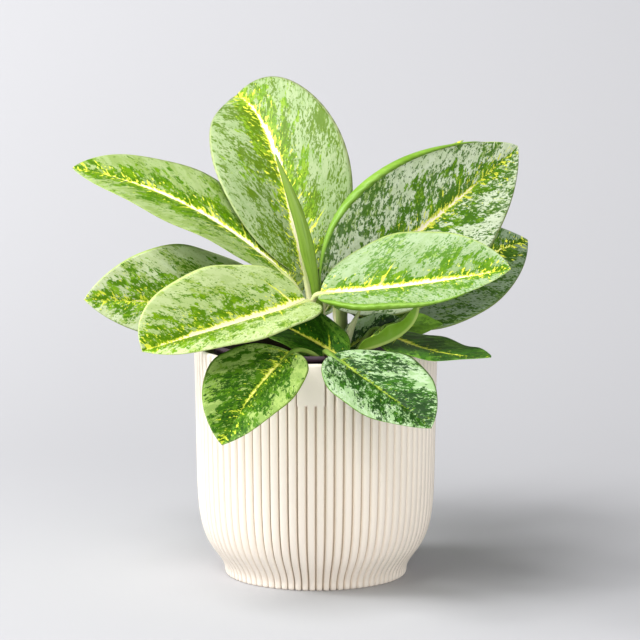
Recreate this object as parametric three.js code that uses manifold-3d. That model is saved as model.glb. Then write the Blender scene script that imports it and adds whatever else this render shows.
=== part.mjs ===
// A young chinese evergreen in its plastic grow pot, standing in a fluted cream planter.
// Units are millimetres and degrees, +Z is up. The origin is the middle of the planter's foot, on the table.
// Headings are measured anticlockwise from +X seen from above; the front of the plant looks along -Y.

import * as THREE from 'three';
import { mergeVertices } from 'three/addons/utils/BufferGeometryUtils.js';
import Module from 'manifold-3d';

const wasm = await Module();
wasm.setup();
const { Manifold, Mesh: SolidMesh } = wasm;

const GAP = 0.3;                       // clearance between pieces that touch
const DEGREE = Math.PI / 180;

// ---------------------------------------------------------------- driving dimensions

const PLANTER = {
  height: 133.1,
  ribs: 80,
  grooveDepth: 1.3,
  crownShare: 0.56,                    // share of the pitch that the crown of a rib takes
  outside: [                           // [height, radius over the ribs], foot lip to rim
    [0, 52.4], [4, 52.8], [8, 54.4], [13, 57.9], [20, 62.6], [29, 66], [45, 68.1], [133.1, 70],
  ],
  inside: [                            // [height, radius] of the hollow, floor to rim
    [4, 48], [14, 51.6], [22, 58.2], [33, 63], [48, 64.8], [133.1, 66.5],
  ],
  hollowSides: 80,
  plaque: { ribs: 3, firstRib: -2, height: 23, depth: 2.4, columns: 6 },
  mouthAbove: 5,                       // how far the tool that hollows it reaches over the rim
};

const NURSERY_POT = {
  sides: 40,
  bottom: 4.3,
  floor: 1.4,
  wall: 1.2,
  footRadius: 46,
  wallTopRadius: 58.8,
  lip: { radius: 61.5, from: 133, to: 136.3 },
};

const SOIL = {
  sides: 40,
  surface: 117,                        // mean height of the potting mix
  lumps: 1.4,                          // how far its surface rises and dips
  rings: [49, 39, 28, 17, 8],          // radii of the rings of its top, inside its rim
};

const CANE = {
  sides: 10,
  foot: 96,                            // how deep the canes stand in the mix
  scarSpacing: 7,                      // distance between the rings left by old leaves
  waist: 0.93,                         // radius between two rings, as a share of that at a ring
  ringShare: 0.8,                      // where a ring stands between two scars
};

// Where each cane stands, its radius and how high it reaches.
const CANES = {
  1: { at: [1.5, 2], radius: 4.2, top: 150 },
  2: { at: [15, 18], radius: 3.8, top: 160 },
  3: { at: [6, -50], radius: 3.2, top: 132.5 },
  4: { at: [-8, 32], radius: 4, top: 141 },
  5: { at: [17, -14], radius: 3.4, top: 131 },
};

const BLADE = {
  thickness: 0.9,
  rib: 1.3,                            // how far the midrib stands out below, at the stalk
  rows: [0, 0.04, 0.12, 0.25, 0.4, 0.56, 0.71, 0.85, 0.95, 1],
  columns: [-1, -0.5, 0, 0.5, 1],
  stalkEdge: 1.3,                      // half width where the stalk meets the blade
  tipEdge: 0.5,                        // half width of the very tip
  waveHeight: 0.9,                     // how far the margins rise and dip
  waves: 2.5,                          // waves along one margin
  waveLag: 2,                          // how far the left margin's waves run ahead, in radians
};

const STALK = {
  sides: 6,
  rings: 6,
  rootRadius: 3,
  endRadius: 1.9,
  veinRadius: 0.8,                     // where the stalk dies out in the midrib
  veinShare: 0.1,                      // share of the blade's length that it runs into
  flatness: 0.85,
  rootDepth: 0.6,                      // where it starts inside the cane, as a share of the cane's radius
  liftShare: 0.4,                      // how far it climbs and how far it levels out, as shares of its span
  levelShare: 0.35,
  fullLeaf: 110,                       // stalks of leaves shorter than this are thinner in proportion
};

// One row for each leaf: the cane it grows from and the height of its root, the stalk's lean away from the
// cane, the point where stalk meets blade, the heading and rise of the midrib there, blade length and width,
// how far the midrib bends down (droop, all along or more towards the tip by its power bend) and sideways
// (sweep), the roll of the blade about the midrib at its base and the twist it adds, the fold of each half,
// and how blunt the blade is towards the stalk and the tip (1 is pointed).
const LEAF_DEFAULTS = {
  lean: 27, bend: 1, sweep: 0, roll: 0, twist: 0, fold: 14, stalkEnd: 0.62, tipEnd: 0.78,
};
const LEAVES = [
  { name: 'leaf_top', cane: 1, root: 143, base: [-5.8, 13.4, 171], heading: 119, rise: 66, length: 143,
    width: 81.5, droop: 65.5, bend: 2.2, sweep: -4.5, roll: 9, twist: 28.5, fold: 19.5, stalkEnd: 0.64,
    tipEnd: 0.77 },
  { name: 'leaf_upper_left', cane: 1, root: 139, base: [-16, 5.5, 171], heading: 177, rise: 45, length: 141,
    width: 60, droop: 35.5, sweep: 4, roll: 21, twist: 12, fold: 9, stalkEnd: 0.65, tipEnd: 0.76 },
  { name: 'leaf_left_back', cane: 4, root: 134, base: [-15.8, 37.2, 152.3], heading: 217.6, rise: 4.2,
    length: 143, width: 73, droop: -3, sweep: -1.5, roll: 29.5, twist: 35.5, fold: 13.5, stalkEnd: 0.61,
    tipEnd: 0.8 },
  { name: 'leaf_left_front', cane: 1, root: 134, base: [-5.5, -7, 159], heading: 232, rise: -4, length: 136,
    width: 70, droop: 2, sweep: -6, roll: 30, twist: 4.5, fold: 30, stalkEnd: 0.43, tipEnd: 0.43 },
  { name: 'leaf_low_left', cane: 3, root: 127, lean: 20, base: [-13.5, -67, 139.5], heading: 239,
    rise: -16.5, length: 89, width: 57, droop: 19, sweep: 7, roll: 14, fold: 21, stalkEnd: 0.69,
    tipEnd: 0.76 },
  { name: 'leaf_low_right', cane: 3, root: 130, lean: 3, base: [8.8, -74.4, 139], heading: -48, rise: -18,
    length: 91, width: 54, droop: 0, sweep: -8, roll: -14, twist: -11.5, fold: 11.5, stalkEnd: 0.66,
    tipEnd: 0.79 },
  { name: 'leaf_low_centre', cane: 5, root: 125, base: [15.8, -42.4, 130.6], heading: 146, rise: 29.5,
    length: 71.5, width: 43, droop: 24.5, sweep: 2.5, roll: 19.5, twist: -8.5, fold: 9, stalkEnd: 0.58,
    tipEnd: 0.81 },
  { name: 'leaf_right_low', cane: 5, root: 126, lean: 50, base: [36, -17, 144.8], heading: -52, rise: -13,
    length: 95, width: 40, droop: -21, sweep: 3.5, roll: -4.5, twist: -2.5, fold: 2.5, tipEnd: 0.79 },
  { name: 'leaf_right_front', cane: 1, root: 134, base: [2.6, -8, 163.6], heading: -23, rise: 7.5,
    length: 124.5, width: 61.5, droop: -6.5, sweep: -14.5, roll: -36.5, twist: -22, fold: 27.5,
    stalkEnd: 0.52, tipEnd: 0.67 },
  { name: 'leaf_upper_right', cane: 1, root: 140, lean: 32, base: [5.7, 7.2, 157.3], heading: 27,
    rise: 30, length: 158, width: 79, droop: -2.5, sweep: 10.5, roll: -64.5, twist: -20.5, fold: 12,
    stalkEnd: 0.59, tipEnd: 0.8 },
  { name: 'leaf_upper_right_back', cane: 2, root: 150, base: [7.6, 45, 162.7], heading: 38, rise: 46,
    length: 130, width: 63, droop: 19, sweep: 2, roll: 4.5, twist: 9, fold: 9.5 },
  { name: 'leaf_right_back', cane: 2, root: 141, base: [18, 25, 149.5], heading: 26.5, rise: 17,
    length: 140.5, width: 71, droop: 9, sweep: 20, roll: -50, twist: 1, fold: 5, stalkEnd: 0.64,
    tipEnd: 0.85 },
  { name: 'leaf_small_right', cane: 3, root: 126, lean: 40, base: [24, -45, 136.4], heading: -13,
    rise: 17.5, length: 50, width: 21, droop: -84, bend: 2.5, sweep: 2.5, roll: -3.5, fold: 53 },
  { name: 'leaf_small_folded', cane: 5, root: 120, base: [13, -7, 127.5], heading: 12, rise: 36, length: 42,
    width: 23, droop: 12, roll: -38, twist: 2, fold: 34 },
  { name: 'leaf_right_under', cane: 2, root: 134, base: [28, 5, 140], heading: 8, rise: 7, length: 46,
    width: 25, droop: 6, roll: -28, fold: 10, stalkEnd: 0.59, tipEnd: 0.8 },
  { name: 'leaf_back_high', cane: 4, root: 137, base: [-12, 42, 156.4], heading: 112, rise: 37, length: 120,
    width: 55, droop: 35 },
  { name: 'leaf_back_left', cane: 4, root: 131, base: [-21, 34, 146], heading: 146, rise: 24, length: 118,
    width: 54, droop: 38 },
  { name: 'leaf_back_right', cane: 2, root: 134, base: [12, 34, 149], heading: 80, rise: 25, length: 120,
    width: 56, droop: 40 },
  { name: 'leaf_back_low_right', cane: 4, root: 130, base: [2, 44, 142], heading: 65, rise: 30, length: 100,
    width: 50, droop: 62 },
  { name: 'leaf_back_low_left', cane: 4, root: 127, base: [-18, 44, 142], heading: 123, rise: 7.5,
    length: 96, width: 48, droop: 45 },
];

// Rolled young leaves: the line they follow from foot to tip and the radius along it.
const SPEAR = { rings: 11, sides: 10, flatness: 0.8 };
const SPEARS = [
  { name: 'spear_main', radii: [3, 2.9, 2.9, 4.4, 3.6, 0.5],
    line: [[1.5, 2, 150.3], [1.2, 1.4, 157], [-2.5, -0.5, 178], [-9.5, -2, 207], [-23, -3, 243.5]] },
  { name: 'spear_small', radii: [1.9, 2.2, 2.6, 2.4, 1.6, 0.5],
    line: [[17, -14, 131.3], [17.2, -14, 135], [20, -13.5, 144], [26, -12.5, 156.5]] },
];

// ---------------------------------------------------------------- solids

const vector = (x, y, z) => new THREE.Vector3(x, y, z);

function toSolid(geometry) {
  const bare = geometry.clone();
  bare.deleteAttribute('normal');
  bare.deleteAttribute('uv');
  const merged = mergeVertices(bare, 1e-4);
  return new Manifold(new SolidMesh({
    numProp: 3,
    vertProperties: new Float32Array(merged.attributes.position.array),
    triVerts: new Uint32Array(merged.index.array),
  }));
}

function toGeometry(solid) {
  const mesh = solid.getMesh();
  const geometry = new THREE.BufferGeometry();
  geometry.setAttribute('position', new THREE.BufferAttribute(new Float32Array(mesh.vertProperties), 3));
  geometry.setIndex(new THREE.BufferAttribute(new Uint32Array(mesh.triVerts), 1));
  geometry.computeVertexNormals();
  return geometry;
}

function geometryFromFaces(points, faces) {
  const geometry = new THREE.BufferGeometry();
  geometry.setAttribute('position', new THREE.Float32BufferAttribute(points.flatMap((p) => p.toArray()), 3));
  geometry.setIndex(faces);
  return geometry;
}

// Skins a stack of rings with equal numbers of points, each anticlockwise seen from the end it grows to.
function loft(rings) {
  const count = rings[0].length;
  const points = rings.flat();
  const faces = [];
  for (let ring = 0; ring < rings.length - 1; ring += 1) {
    for (let side = 0; side < count; side += 1) {
      const next = (side + 1) % count;
      const [a, b] = [ring * count + side, ring * count + next];
      faces.push(a, b, b + count, a, b + count, a + count);
    }
  }
  const ends = [[rings[0], 0, true], [rings[rings.length - 1], (rings.length - 1) * count, false]];
  for (const [ring, first, startsHere] of ends) {
    const middle = points.length;
    points.push(ring.reduce((sum, p) => sum.add(p), vector(0, 0, 0)).divideScalar(count));
    for (let side = 0; side < count; side += 1) {
      const next = (side + 1) % count;
      if (startsHere) faces.push(middle, first + next, first + side);
      else faces.push(middle, first + side, first + next);
    }
  }
  return toSolid(geometryFromFaces(points, faces));
}

// A tube along a curve whose radius is read from a function; across and flatness make its section an ellipse.
function tube(curve, ringCount, sides, radiusAt, across, flatness = 1) {
  const rings = [];
  for (let ring = 0; ring < ringCount; ring += 1) {
    const t = ring / (ringCount - 1);
    const centre = curve.getPoint(t);
    const along = curve.getTangent(t);
    const side = across.clone().addScaledVector(along, -across.dot(along)).normalize();
    const up = along.clone().cross(side);
    rings.push(Array.from({ length: sides }, (_, corner) => {
      const angle = (2 * Math.PI * corner) / sides;
      return centre.clone()
        .addScaledVector(side, radiusAt(t) * Math.cos(angle))
        .addScaledVector(up, flatness * radiusAt(t) * Math.sin(angle));
    }));
  }
  return loft(rings);
}

function turned(profile, sides) {
  const outline = profile.map(([radius, height]) => new THREE.Vector2(radius, height));
  const geometry = new THREE.LatheGeometry(outline, sides);
  geometry.rotateX(Math.PI / 2);
  return toSolid(geometry);
}

const cylinder = (at, radius, from, to, sides) => turned(
  [[0, from], [radius, from], [radius, to], [0, to]], sides,
).translate(at[0], at[1], 0);

const largestPiece = (solid) => solid.decompose().sort((a, b) => b.volume() - a.volume())[0];

const mix = (from, to, share) => from + (to - from) * share;

// Value at a share of the way along a list of evenly spaced values.
function alongList(values, share) {
  const place = Math.min(share, 0.9999) * (values.length - 1);
  const index = Math.floor(place);
  return mix(values[index], values[index + 1], place - index);
}

// ---------------------------------------------------------------- planter, grow pot and soil

function planter() {
  const { ribs, crownShare, grooveDepth, plaque, height } = PLANTER;
  const pitch = (2 * Math.PI) / ribs;
  const front = -Math.PI / 2;
  const rings = PLANTER.outside.map(([z, crown]) => Array.from({ length: 3 * ribs }, (_, corner) => {
    const rib = Math.floor(corner / 3);
    const place = [0, (1 - crownShare) / 2, (1 + crownShare) / 2][corner % 3];
    const radius = corner % 3 === 0 ? crown - grooveDepth : crown;
    const angle = front + (rib + place) * pitch;
    return vector(radius * Math.cos(angle), radius * Math.sin(angle), z);
  }));
  const cavity = [[0, PLANTER.inside[0][0]], ...PLANTER.inside.map(([z, radius]) => [radius, z])];
  const rimRadius = PLANTER.inside.at(-1)[1];
  cavity.push([rimRadius, height + PLANTER.mouthAbove], [0, height + PLANTER.mouthAbove]);

  // The plain plaque stands flush with the crowns of the ribs that it covers.
  const crowns = PLANTER.outside.slice(-2);
  const crownAt = (z) => mix(crowns[0][1], crowns[1][1], (z - crowns[0][0]) / (crowns[1][0] - crowns[0][0]));
  const plaqueTop = height - GAP / 2;
  const plaqueRings = [height - plaque.height, plaqueTop].map((z) => {
    const corners = Array.from({ length: plaque.columns + 1 }, (_, column) => (
      front + (plaque.firstRib + (plaque.ribs * column) / plaque.columns) * pitch));
    const arc = (radius) => corners.map((angle) => (
      vector(radius * Math.cos(angle), radius * Math.sin(angle), z)));
    return [...arc(crownAt(z)), ...arc(crownAt(z) - plaque.depth).reverse()];
  });
  return loft(rings).subtract(turned(cavity, PLANTER.hollowSides)).add(loft(plaqueRings));
}

function nurseryPot() {
  const { bottom, floor, wall, footRadius, wallTopRadius, lip, sides } = NURSERY_POT;
  return turned([
    [0, bottom], [footRadius, bottom], [wallTopRadius, lip.from], [lip.radius, lip.from],
    [lip.radius, lip.to], [lip.radius - wall, lip.to], [wallTopRadius - wall, lip.from - 2 * wall],
    [footRadius - wall, bottom + floor], [0, bottom + floor],
  ], sides);
}

// Two soft waves that cross make the mix uneven.
const soilHeight = (x, y) => SOIL.surface + SOIL.lumps * (
  0.6 * Math.sin(0.31 * x + 1.3) * Math.cos(0.27 * y - 0.4) + 0.4 * Math.sin(0.53 * y + 0.37 * x));

function soil() {
  const { bottom, floor, wall, footRadius, wallTopRadius, lip } = NURSERY_POT;
  const ringAt = (radius, heightAt) => Array.from({ length: SOIL.sides }, (_, corner) => {
    const angle = (2 * Math.PI * corner) / SOIL.sides;
    const [x, y] = [radius * Math.cos(angle), radius * Math.sin(angle)];
    return vector(x, y, heightAt(x, y));
  });
  const wallSlope = (wallTopRadius - footRadius) / (lip.from - bottom);
  const roomAt = (z) => footRadius - wall + wallSlope * (z - bottom) - 2 * GAP;
  const [underside, rim] = [bottom + floor + GAP, SOIL.surface - SOIL.lumps];
  let mound = loft([
    ringAt(roomAt(underside), () => underside), ringAt(roomAt(rim), () => rim),
    ...SOIL.rings.map((radius) => ringAt(radius, soilHeight)),
  ]);
  for (const cane of Object.values(CANES)) {
    const hole = cylinder(cane.at, cane.radius + GAP, CANE.foot - GAP, cane.top, CANE.sides);
    mound = mound.subtract(hole);
  }
  return mound;
}

function cane({ at, radius, top }) {
  const scars = Math.floor((top - SOIL.surface) / CANE.scarSpacing);
  const profile = [[0, CANE.foot], [radius * CANE.waist, CANE.foot]];
  for (let scar = scars; scar > 0; scar -= 1) {
    const z = top - scar * CANE.scarSpacing;
    profile.push([radius * CANE.waist, z], [radius, z + CANE.ringShare * CANE.scarSpacing]);
  }
  profile.push([radius * CANE.waist, top], [0, top]);
  return turned(profile, CANE.sides).translate(at[0], at[1], 0);
}

// ---------------------------------------------------------------- leaves

// The midrib and the blade's own directions at a share s of its length.
function midribFrames(leaf, steps = 60) {
  const point = vector(...leaf.base);
  const frames = [];
  let before = null;
  for (let step = 0; step <= steps; step += 1) {
    const s = step / steps;
    const heading = (leaf.heading + leaf.sweep * s) * DEGREE;
    const rise = (leaf.rise - leaf.droop * s ** leaf.bend) * DEGREE;
    const along = vector(
      Math.cos(heading) * Math.cos(rise), Math.sin(heading) * Math.cos(rise), Math.sin(rise));
    if (before) point.addScaledVector(along.clone().add(before), leaf.length / steps / 2);
    before = along;
    const level = vector(Math.sin(heading), -Math.cos(heading), 0);
    const roll = (leaf.roll + leaf.twist * s) * DEGREE;
    const across = level.clone().multiplyScalar(Math.cos(roll))
      .addScaledVector(level.clone().cross(along), Math.sin(roll));
    frames.push({ point: point.clone(), along, across, up: across.clone().cross(along) });
  }
  return (share) => frames[Math.round(share * steps)];
}

// Half width of the blade: rounded near the stalk, drawn out to a short point at the tip.
function halfWidth(leaf, s) {
  const widest = leaf.stalkEnd / (leaf.stalkEnd + leaf.tipEnd);
  const shape = (s / widest) ** leaf.stalkEnd * ((1 - s) / (1 - widest)) ** leaf.tipEnd;
  return Math.max(0.5 * leaf.width * shape, mix(BLADE.stalkEdge, BLADE.tipEdge, s));
}

function blade(leaf, frameAt) {
  const { rows, columns, thickness } = BLADE;
  const faces = [];
  const skins = [[], []];
  rows.forEach((s) => {
    const { point, across, up } = frameAt(s);
    const half = halfWidth(leaf, s);
    columns.forEach((column) => {
      const fold = leaf.fold * DEGREE;
      const reach = half * Math.abs(column);
      const wave = BLADE.waveHeight * (half / (0.5 * leaf.width)) * column * column
        * Math.sin(2 * Math.PI * BLADE.waves * s + (column > 0 ? 0 : BLADE.waveLag));
      const middle = point.clone()
        .addScaledVector(across, Math.sign(column) * reach * Math.cos(fold))
        .addScaledVector(up, reach * Math.sin(fold) + wave);
      const facing = up.clone().multiplyScalar(Math.cos(fold))
        .addScaledVector(across, -Math.sign(column) * Math.sin(fold)).normalize();
      if (column === 0) facing.copy(up);
      const rib = column === 0 ? BLADE.rib * (1 - s) : 0;
      skins[0].push(middle.clone().addScaledVector(facing, thickness / 2));
      skins[1].push(middle.clone().addScaledVector(facing, -thickness / 2 - rib));
    });
  });
  const wide = columns.length;
  const below = rows.length * wide;
  const at = (row, column) => row * wide + column;
  for (let row = 0; row < rows.length - 1; row += 1) {
    for (let column = 0; column < wide - 1; column += 1) {
      const [a, b] = [at(row, column), at(row, column + 1)];
      const [c, d] = [at(row + 1, column + 1), at(row + 1, column)];
      faces.push(a, b, c, a, c, d);
      faces.push(below + a, below + c, below + b, below + a, below + d, below + c);
    }
  }
  // The rim joins both faces all the way round.
  const rim = [
    ...Array.from({ length: wide - 1 }, (_, column) => at(0, column)),
    ...Array.from({ length: rows.length - 1 }, (_, row) => at(row, wide - 1)),
    ...Array.from({ length: wide - 1 }, (_, column) => at(rows.length - 1, wide - 1 - column)),
    ...Array.from({ length: rows.length - 1 }, (_, row) => at(rows.length - 1 - row, 0)),
  ];
  rim.forEach((a, index) => {
    const b = rim[(index + 1) % rim.length];
    faces.push(a, below + a, b, b, below + a, below + b);
  });
  return toSolid(geometryFromFaces(skins.flat(), faces));
}

// The stalk leaves the side of its cane, climbs, levels out and runs on into the midrib.
function stalk(leaf, frameAt, extra = 0) {
  const { at, radius } = CANES[leaf.cane];
  const { point: end, along, across, up } = frameAt(0);
  const outward = vector(end.x - at[0], end.y - at[1], 0).normalize();
  const root = vector(at[0], at[1], leaf.root).addScaledVector(outward, radius * STALK.rootDepth);
  const span = root.distanceTo(end);
  const lift = outward.clone().multiplyScalar(Math.sin(leaf.lean * DEGREE));
  lift.z = Math.cos(leaf.lean * DEGREE);
  const curve = new THREE.CubicBezierCurve3(
    root,
    root.clone().addScaledVector(lift, STALK.liftShare * span),
    end.clone().addScaledVector(along, -STALK.levelShare * span),
    end,
  );
  const size = Math.min(1, leaf.length / STALK.fullLeaf);
  const radiusAt = (t) => extra + size * mix(STALK.rootRadius, STALK.endRadius, Math.sqrt(t));
  const climb = tube(curve, STALK.rings, STALK.sides, radiusAt, across, STALK.flatness);
  const intoBlade = new THREE.LineCurve3(
    end.clone().addScaledVector(along, -STALK.veinRadius),
    frameAt(STALK.veinShare).point.clone().addScaledVector(up, -0.5 * BLADE.rib),
  );
  const taper = (t) => extra + size * mix(STALK.endRadius, STALK.veinRadius, t);
  return climb.add(tube(intoBlade, 3, STALK.sides, taper, across, STALK.flatness));
}

// Leaves are made in order; each gives way by the clearance to the canes and to the stalks made before it.
function leaves() {
  const keepClear = Object.values(CANES).map((post) => (
    cylinder(post.at, post.radius + GAP, CANE.foot, post.top + GAP, CANE.sides)));
  return LEAVES.map((row) => {
    const leaf = { ...LEAF_DEFAULTS, ...row };
    const frameAt = midribFrames(leaf);
    let solid = blade(leaf, frameAt).add(stalk(leaf, frameAt));
    for (const other of keepClear) solid = solid.subtract(other);
    keepClear.push(stalk(leaf, frameAt, GAP));
    return { name: leaf.name, solid: largestPiece(solid) };
  });
}

function spear({ line, radii }) {
  const curve = new THREE.CatmullRomCurve3(line.map((p) => vector(...p)));
  return tube(curve, SPEAR.rings, SPEAR.sides, (t) => alongList(radii, t), vector(1, 0, 0), SPEAR.flatness);
}

// ---------------------------------------------------------------- the assembly

const plant = new THREE.Group();

function addMesh(name, solid, colour, roughness) {
  const material = new THREE.MeshStandardMaterial({ color: colour, roughness, metalness: 0 });
  const mesh = new THREE.Mesh(toGeometry(solid), material);
  mesh.name = name;
  plant.add(mesh);
}

addMesh('planter', planter(), 0xf3e9dc, 0.55);
addMesh('nursery_pot', nurseryPot(), 0x4a3040, 0.5);
addMesh('soil', soil(), 0x3a2a1e, 0.95);
for (const [number, row] of Object.entries(CANES)) addMesh(`cane_${number}`, cane(row), 0xcfd3a8, 0.5);
for (const { name, solid } of leaves()) addMesh(name, solid, 0x86b04a, 0.4);
for (const row of SPEARS) addMesh(row.name, spear(row), 0x8faf3a, 0.4);

export default plant;
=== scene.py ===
# %% [markdown]
# # A potted chinese evergreen
#
# This notebook dresses a finished CAD model of a young house plant in a fluted planter. The frame that the
# first cell loads holds the real sizes and places. Each later cell makes one piece or one finish, says what
# it is on the real plant, and prints what it made. The plant and planter are written in millimetres and
# turned to metres; the backdrop and the lights are in metres.

# %% Load the frame
import random
from functools import lru_cache
from math import atan2, copysign, cos, exp, floor, pi, radians, sin, sqrt, tau

import bmesh
import bpy
from mathutils import Matrix, Vector, noise


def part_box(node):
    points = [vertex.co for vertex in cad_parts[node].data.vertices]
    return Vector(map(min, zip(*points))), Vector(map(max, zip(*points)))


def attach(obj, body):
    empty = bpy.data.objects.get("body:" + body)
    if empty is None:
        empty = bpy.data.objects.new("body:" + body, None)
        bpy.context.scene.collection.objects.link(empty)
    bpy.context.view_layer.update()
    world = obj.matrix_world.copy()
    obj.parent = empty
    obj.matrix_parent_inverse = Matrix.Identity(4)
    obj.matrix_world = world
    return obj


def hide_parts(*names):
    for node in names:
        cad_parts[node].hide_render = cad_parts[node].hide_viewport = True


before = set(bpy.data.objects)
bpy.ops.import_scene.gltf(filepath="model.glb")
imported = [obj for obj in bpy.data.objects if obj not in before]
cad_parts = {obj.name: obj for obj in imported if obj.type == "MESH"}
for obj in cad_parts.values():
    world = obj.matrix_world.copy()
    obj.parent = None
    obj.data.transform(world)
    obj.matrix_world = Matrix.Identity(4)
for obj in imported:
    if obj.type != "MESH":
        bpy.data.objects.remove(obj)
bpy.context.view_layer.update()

MM = 0.001

# %% [markdown]
# ## Camera
#
# The camera comes first, so that every piece can be judged through it. A long lens from two metres away
# keeps the planter's sides almost parallel, and it looks down by about nine degrees, just enough to see into
# the crown of the plant. `to_track_quat` turns its -Z towards the target.

# %% Camera
LOOK_AT = Vector((2.4, 0, 147.4)) * MM
DISTANCE = 2044 * MM
ELEVATION = radians(8.8)

camera_data = bpy.data.cameras.new("camera")
camera_data.lens = 200
camera_data.sensor_width = 36
camera = bpy.data.objects.new("camera", camera_data)
bpy.context.scene.collection.objects.link(camera)
bpy.context.scene.camera = camera
backwards = Vector((0, -cos(ELEVATION), sin(ELEVATION)))
camera.location = LOOK_AT + DISTANCE * backwards
camera.rotation_euler = (-backwards).to_track_quat("-Z", "Y").to_euler()
print("camera at", [round(side, 3) for side in camera.location])

# %% [markdown]
# ## Helpers for finishes
#
# Colours are easiest to pick as sRGB hex values, but the shader reckons in linear light, so one function
# converts them. A second one adds a shader node: each input is given either a plain value or the output that
# feeds it. That keeps a whole material readable as a list of layers. Every finish ends in the same nodes, so
# `surface` adds them: a bump where there is relief, the Principled shader and the output.

# %% Colour and node helpers
def linear(hex_colour):
    """An sRGB hex value as linear red, green, blue and alpha."""
    parts = [int(hex_colour[i:i + 2], 16) / 255 for i in (1, 3, 5)]
    return [p / 12.92 if p <= 0.04045 else ((p + 0.055) / 1.055) ** 2.4 for p in parts] + [1]


def add_node(tree, kind, inputs=None, **settings):
    """Adds a shader node. An input takes a value, or the output socket that it is linked to."""
    made = tree.nodes.new("ShaderNode" + kind)
    for name, value in settings.items():
        setattr(made, name, value)
    for key, value in (inputs or {}).items():
        if isinstance(value, bpy.types.NodeSocket):
            tree.links.new(value, made.inputs[key])
        else:
            made.inputs[key].default_value = value
    return made


def new_material(name):
    """A material with no nodes yet, and its node tree."""
    material = bpy.data.materials.new(name)
    material.use_nodes = True
    material.node_tree.nodes.clear()
    return material, material.node_tree


def surface(tree, colour, roughness, relief=None, **extra):
    """The last nodes of a finish; relief is a height socket, a strength and a depth in millimetres."""
    inputs = {"Base Color": colour, "Roughness": roughness, **extra}
    if relief:
        height, strength, depth = relief
        inputs["Normal"] = add_node(tree, "Bump", {
            "Height": height, "Strength": strength, "Distance": depth * MM}).outputs["Normal"]
    shader = add_node(tree, "BsdfPrincipled", inputs)
    add_node(tree, "OutputMaterial", {"Surface": shader.outputs["BSDF"]})


def noise_at(vector, scale, detail, ragged=0.5):
    """Noise read at a vector socket, from 0 to 1."""
    return add_node(vector.id_data, "TexNoise", {
        "Vector": vector, "Scale": scale, "Detail": detail, "Roughness": ragged}).outputs["Fac"]


def grains(tree, size, detail):
    """Even noise in the piece's own coordinates, with grains of this size in millimetres."""
    return noise_at(add_node(tree, "TexCoord").outputs["Object"], 1 / (size * MM), detail)


def uv_parts(tree, layer):
    """The x and y sockets of a UV map."""
    place = add_node(tree, "UVMap", uv_map=layer).outputs["UV"]
    return add_node(tree, "SeparateXYZ", {"Vector": place}).outputs[:2]


def vector_of(x, y, z=0.0):
    return add_node(x.id_data, "CombineXYZ", {"X": x, "Y": y, "Z": z}).outputs["Vector"]


# %% [markdown]
# A mask is made of sums and products, soft thresholds, and blends of two colours, and these small functions
# are words for that. A socket's `id_data` is the node tree that it belongs to, so they needn't be told which
# tree they work in.

# %% Mask arithmetic
def reckon(operation, first, second=0.0):
    """One arithmetic step between two sockets, or a socket and a number."""
    tree = (first if isinstance(first, bpy.types.NodeSocket) else second).id_data
    return add_node(tree, "Math", {0: first, 1: second}, operation=operation).outputs[0]


def plus(first, second):
    return reckon("ADD", first, second)


def minus(first, second):
    return reckon("SUBTRACT", first, second)


def times(first, second):
    return reckon("MULTIPLY", first, second)


def threshold(value, low, high):
    """0 below low, 1 above high, and a soft step between; with low over high it falls instead."""
    step = add_node(value.id_data, "MapRange", {"Value": value, "From Min": low, "From Max": high},
                    interpolation_type="SMOOTHSTEP")
    return step.outputs["Result"]


def blend(mask, under, over):
    """over laid on under where mask is 1; colours are hex values or sockets."""
    colours = [linear(c) if isinstance(c, str) else c for c in (under, over)]
    mixed = add_node(mask.id_data, "Mix", {0: mask, 6: colours[0], 7: colours[1]}, data_type="RGBA")
    return mixed.outputs[2]


# %% [markdown]
# ## Helpers for meshes
#
# Leaves, stalks, canes and rolled young leaves are all one kind of form: a sheet that is rolled up and
# closed at its seam. `rolled_sheet` takes a grid from `bmesh.ops.create_grid`, puts every vertex where a
# `place` function says, welds the seam and fills the two ends. The grid's own x and y, from 0 to 1, are
# how far round and how far along, and they make the UV maps before the weld, so the seam stays clean.

# %% Rolled sheet
WELD, SPIN_WELD = 0.001 * MM, 0.01 * MM
# The UV map of a stem: how far round, and how far along.
ROUND_ALONG = {"round_along": lambda turn, share: (turn, share)}


def rolled_sheet(bm, around, along, place, uv=None, material=None):
    """Rolls a grid; place(turn, share) gives a point, uv and material may read the same two numbers."""
    uv = uv or {}
    for name in uv:
        bm.loops.layers.uv.new(name)
    faces_before = set(bm.faces)
    made = bmesh.ops.create_grid(bm, x_segments=around, y_segments=along, size=1)
    where = {v: ((v.co.x + 1) / 2, (v.co.y + 1) / 2) for v in made["verts"]}
    new_faces = [face for face in bm.faces if face not in faces_before]
    for face in new_faces:
        face.smooth = True
        if material:
            turns, shares = zip(*(where[v] for v in face.verts))
            face.material_index = material(sum(turns) / 4, sum(shares) / 4)
        for name, mapping in uv.items():
            layer = bm.loops.layers.uv[name]
            for loop in face.loops:
                loop[layer].uv = mapping(*where[loop.vert])
    for v, (turn, share) in where.items():
        v.co = place(turn, share) * MM
    bmesh.ops.remove_doubles(bm, verts=made["verts"], dist=WELD)
    open_edges = [e for e in bm.edges if e.is_boundary]
    ends = bmesh.ops.holes_fill(bm, edges=open_edges, sides=0)["faces"]
    for face in ends:
        face.smooth = True
        face.material_index = new_faces[0].material_index if new_faces[0].is_valid else 0


# %% [markdown]
# A finished bmesh becomes an object. A piece of the plant then tells the frame which CAD node it stands in
# for, its material slot, and the body it rides on; here there is only one body.

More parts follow.
